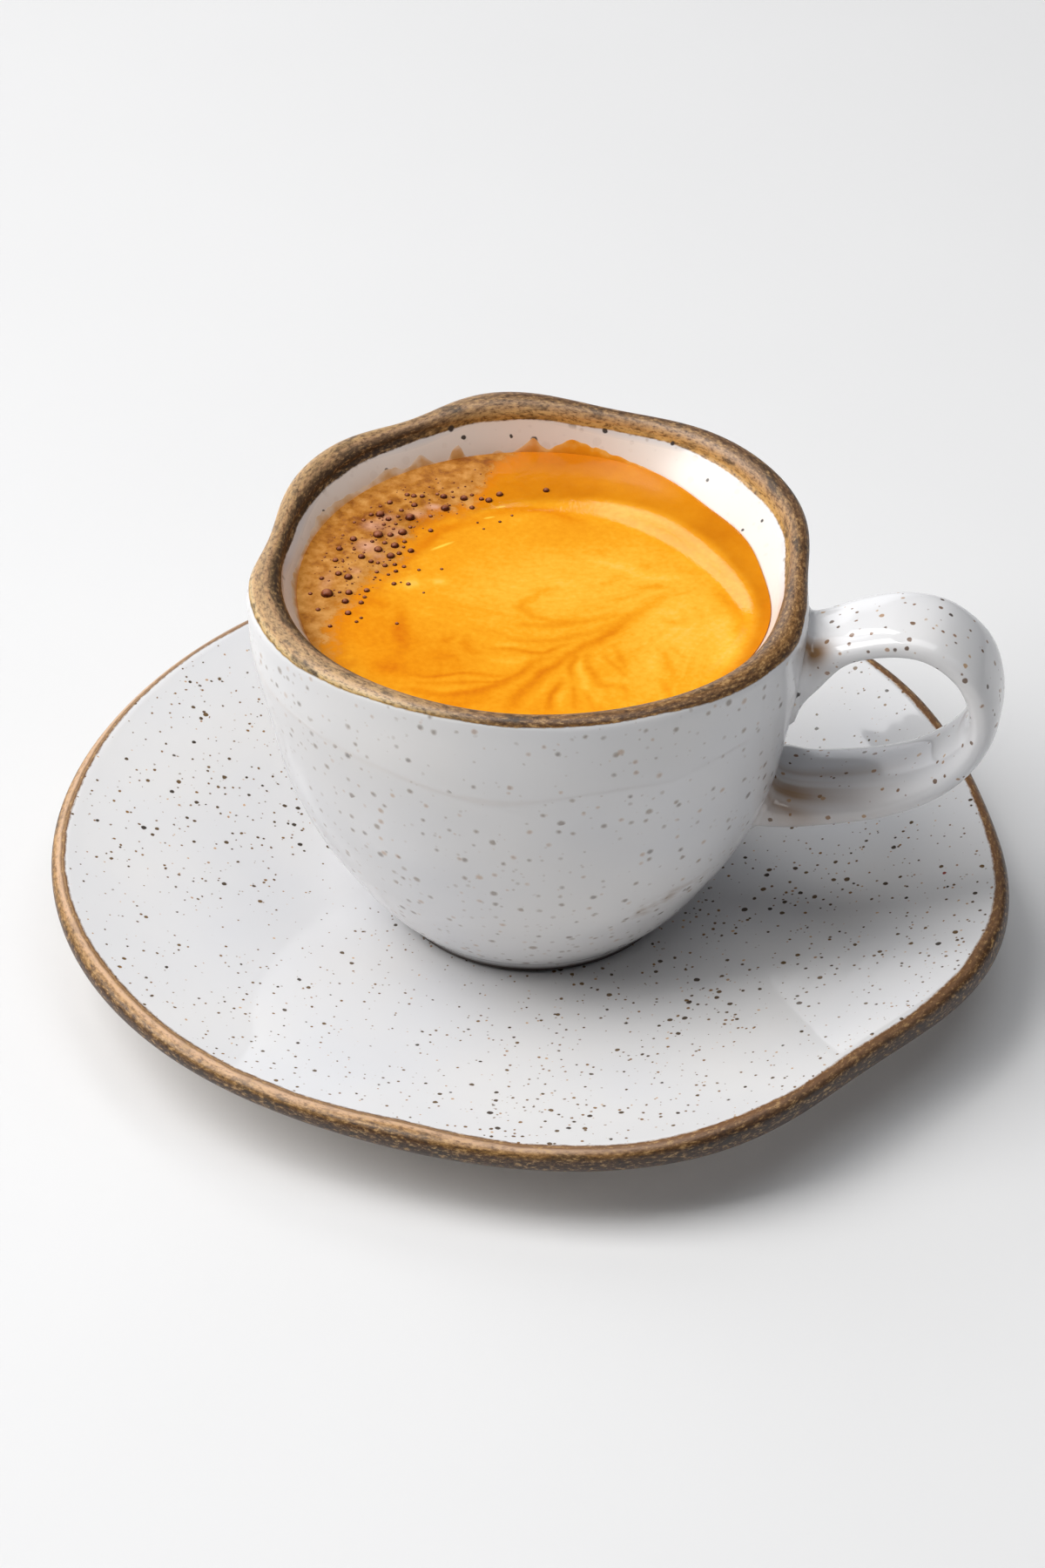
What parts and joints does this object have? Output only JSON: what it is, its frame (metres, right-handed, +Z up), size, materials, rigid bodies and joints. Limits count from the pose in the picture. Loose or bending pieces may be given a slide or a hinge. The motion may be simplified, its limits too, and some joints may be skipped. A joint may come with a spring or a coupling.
{
  "type": "coffee with crema in a cup on a saucer",
  "caption": "Coffee with crema in a hand-pinched stoneware cup with a strap handle, on its own saucer.",
  "frame": {"origin": "centre of the bounding box in plan, at the height of the table the saucer stands on", "axes": "+X from the cup's axis towards its handle, +Z up"},
  "size_m": [0.1628, 0.1558, 0.0779],
  "materials": {
    "stoneware_glaze": "glossy off-white glaze with brown speckles and bare brown edges",
    "crema": "golden wet foam over coffee, marbled, with fine bubbles"
  },
  "bodies": {
    "root": {"saucer": "stoneware_glaze", "cup": "stoneware_glaze", "coffee": "crema"}
  },
  "joints": []
}
